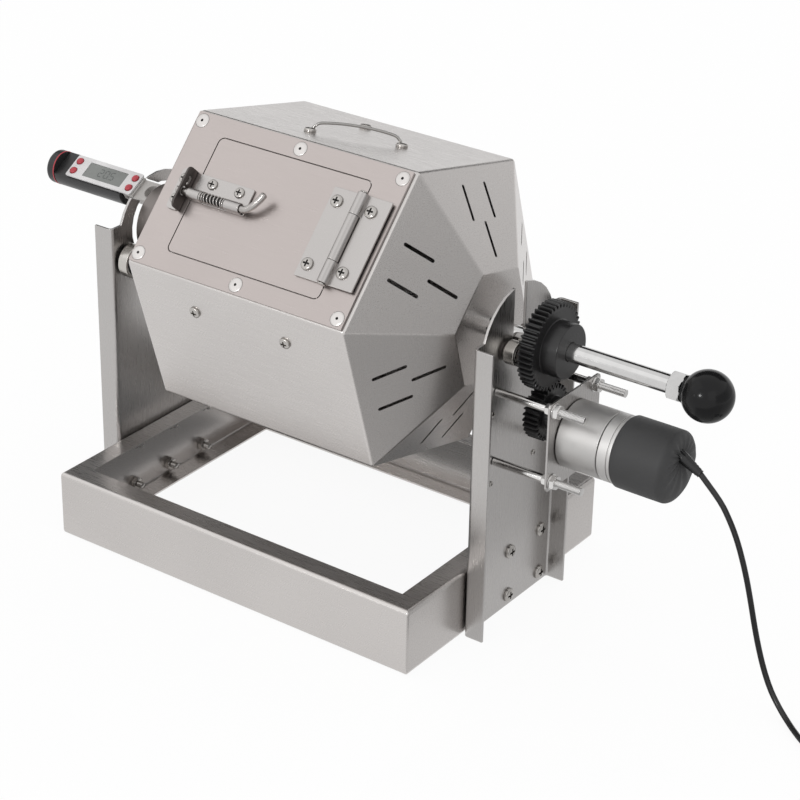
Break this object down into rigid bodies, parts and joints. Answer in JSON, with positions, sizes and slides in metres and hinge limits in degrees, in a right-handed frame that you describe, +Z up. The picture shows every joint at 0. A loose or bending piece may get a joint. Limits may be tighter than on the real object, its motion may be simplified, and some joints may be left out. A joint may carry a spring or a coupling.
{
  "type": "home coffee bean roaster",
  "caption": "Tabletop coffee bean roaster: a six-sided steel drum with a hinged door turns on a shaft over an open base frame, driven by a gear motor.",
  "frame": {"origin": "on the table under the middle of the object, without its lead", "axes": "+X along the drum's shaft to the motor and knob, +Y to the back, +Z up"},
  "size_m": [0.5675, 0.18, 0.2481],
  "materials": {
    "brushed_steel": "stainless sheet with a fine brushed grain",
    "bright_steel": "bright plated steel",
    "dark_steel": "dark oiled steel",
    "bearing_steel": "ground bearing steel",
    "cast_alloy": "die-cast gearbox housing",
    "black_nylon": "black nylon, slightly matte",
    "black_gloss": "glossy black phenolic",
    "black_rubber": "soft black rubber",
    "red_rubber": "red silicone keys",
    "white_face": "pale face plate around a small display"
  },
  "bodies": {
    "root": {"base_front_rail": "brushed_steel", "base_right_rail": "brushed_steel", "base_back_rail": "brushed_steel", "base_left_rail": "brushed_steel", "right_upright": "brushed_steel", "left_upright": "brushed_steel", "shaft_roller_bolt_front": "dark_steel", "shaft_roller_bolt_back": "dark_steel", "neck_roller_bolt_front": "dark_steel", "neck_roller_bolt_back": "dark_steel", "motor_plate": "brushed_steel", "standoff_rod_upper_front": "bright_steel", "standoff_rod_upper_back": "bright_steel", "standoff_rod_lower_front": "bright_steel", "standoff_rod_lower_back": "bright_steel", "gearbox": "cast_alloy", "motor_can": "bright_steel", "motor_boot": "black_rubber", "thermometer_bracket": "brushed_steel", "lead_gland": "black_rubber", "lead": "black_rubber", "lead_coil": "black_rubber", "lead_tie": "black_nylon", "lead_plug": "black_rubber"},
    "drum": {"drum_shell": "brushed_steel", "drum_right_end": "brushed_steel", "drum_left_end": "brushed_steel", "drum_neck": "dark_steel", "drive_shaft": "bright_steel", "door_frame_plate": "brushed_steel", "hinge_frame_leaf": "bright_steel", "hinge_pin": "dark_steel", "latch_keeper": "dark_steel", "bow_handle": "bright_steel", "vane_1": "brushed_steel", "vane_2": "brushed_steel", "vane_3": "brushed_steel", "drive_gear": "black_nylon", "shaft_nut": "bright_steel", "ball_knob": "black_gloss"},
    "door": {"door_panel": "brushed_steel", "hinge_door_leaf": "bright_steel", "latch_plate": "bright_steel"},
    "latch_bolt": {"latch_bolt": "bright_steel", "latch_spring": "bright_steel"},
    "pinion": {"pinion": "black_nylon", "gearbox_shaft": "bright_steel"},
    "shaft_roller_front": {"shaft_roller_front": "bearing_steel"},
    "shaft_roller_back": {"shaft_roller_back": "bearing_steel"},
    "neck_roller_front": {"neck_roller_front": "bearing_steel"},
    "neck_roller_back": {"neck_roller_back": "bearing_steel"},
    "thermometer": {"thermometer_body": "black_nylon", "thermometer_cap": "black_nylon", "thermometer_tab": "bright_steel", "thermometer_face": "white_face", "thermometer_probe": "bright_steel"},
    "power_button": {"power_button": "red_rubber"},
    "unit_button": {"unit_button": "red_rubber"},
    "hold_button": {"hold_button": "red_rubber"},
    "memory_button": {"memory_button": "red_rubber"}
  },
  "joints": [
    {"name": "drum_spin", "type": "hinge", "parent": "root", "child": "drum", "pos_m": [0, 0, 0.1615], "axis": [1, 0, 0], "continuous": true},
    {"name": "pinion_spin", "type": "hinge", "parent": "root", "child": "pinion", "pos_m": [0.11963, 0, 0.1243], "axis": [1, 0, 0], "continuous": true},
    {"name": "shaft_roller_front_spin", "type": "hinge", "parent": "root", "child": "shaft_roller_front", "pos_m": [0.10493, -0.01109, 0.15746], "axis": [1, 0, 0], "continuous": true},
    {"name": "shaft_roller_back_spin", "type": "hinge", "parent": "root", "child": "shaft_roller_back", "pos_m": [0.10493, 0.01109, 0.15746], "axis": [1, 0, 0], "continuous": true},
    {"name": "neck_roller_front_spin", "type": "hinge", "parent": "root", "child": "neck_roller_front", "pos_m": [-0.13717, -0.02789, 0.14729], "axis": [1, 0, 0], "continuous": true},
    {"name": "neck_roller_back_spin", "type": "hinge", "parent": "root", "child": "neck_roller_back", "pos_m": [-0.13717, 0.02789, 0.14729], "axis": [1, 0, 0], "continuous": true},
    {"name": "door_hinge", "type": "hinge", "parent": "drum", "child": "door", "pos_m": [0.03283, -0.06073, 0.21813], "axis": [0, 0.682, 0.7314], "range_deg": [0, 165]},
    {"name": "latch_slide", "type": "slide", "parent": "door", "child": "latch_bolt", "axis": [1, 0, 0], "range_m": [0, 0.0055], "stiffness_N_per_m": 200, "springref_m": -0.004, "deforming": ["latch_spring"]},
    {"name": "thermometer_pull", "type": "slide", "parent": "root", "child": "thermometer", "axis": [-1, 0, 0], "range_m": [0, 0.14]},
    {"name": "power_press", "type": "slide", "parent": "thermometer", "child": "power_button", "axis": [0, 0.515, -0.8572], "range_m": [0, 0.0006], "stiffness_N_per_m": 400, "springref_m": -0.001},
    {"name": "unit_press", "type": "slide", "parent": "thermometer", "child": "unit_button", "axis": [0, 0.515, -0.8572], "range_m": [0, 0.0006], "stiffness_N_per_m": 400, "springref_m": -0.001},
    {"name": "hold_press", "type": "slide", "parent": "thermometer", "child": "hold_button", "axis": [0, 0.515, -0.8572], "range_m": [0, 0.0006], "stiffness_N_per_m": 400, "springref_m": -0.001},
    {"name": "memory_press", "type": "slide", "parent": "thermometer", "child": "memory_button", "axis": [0, 0.515, -0.8572], "range_m": [0, 0.0006], "stiffness_N_per_m": 400, "springref_m": -0.001}
  ],
  "couplings": [
    {"joint": "pinion_spin", "follows": "drum_spin", "ratio": -1.5517},
    {"joint": "shaft_roller_front_spin", "follows": "drum_spin", "ratio": -0.76923},
    {"joint": "shaft_roller_back_spin", "follows": "drum_spin", "ratio": -0.76923},
    {"joint": "neck_roller_front_spin", "follows": "drum_spin", "ratio": -2.2632},
    {"joint": "neck_roller_back_spin", "follows": "drum_spin", "ratio": -2.2632}
  ]
}
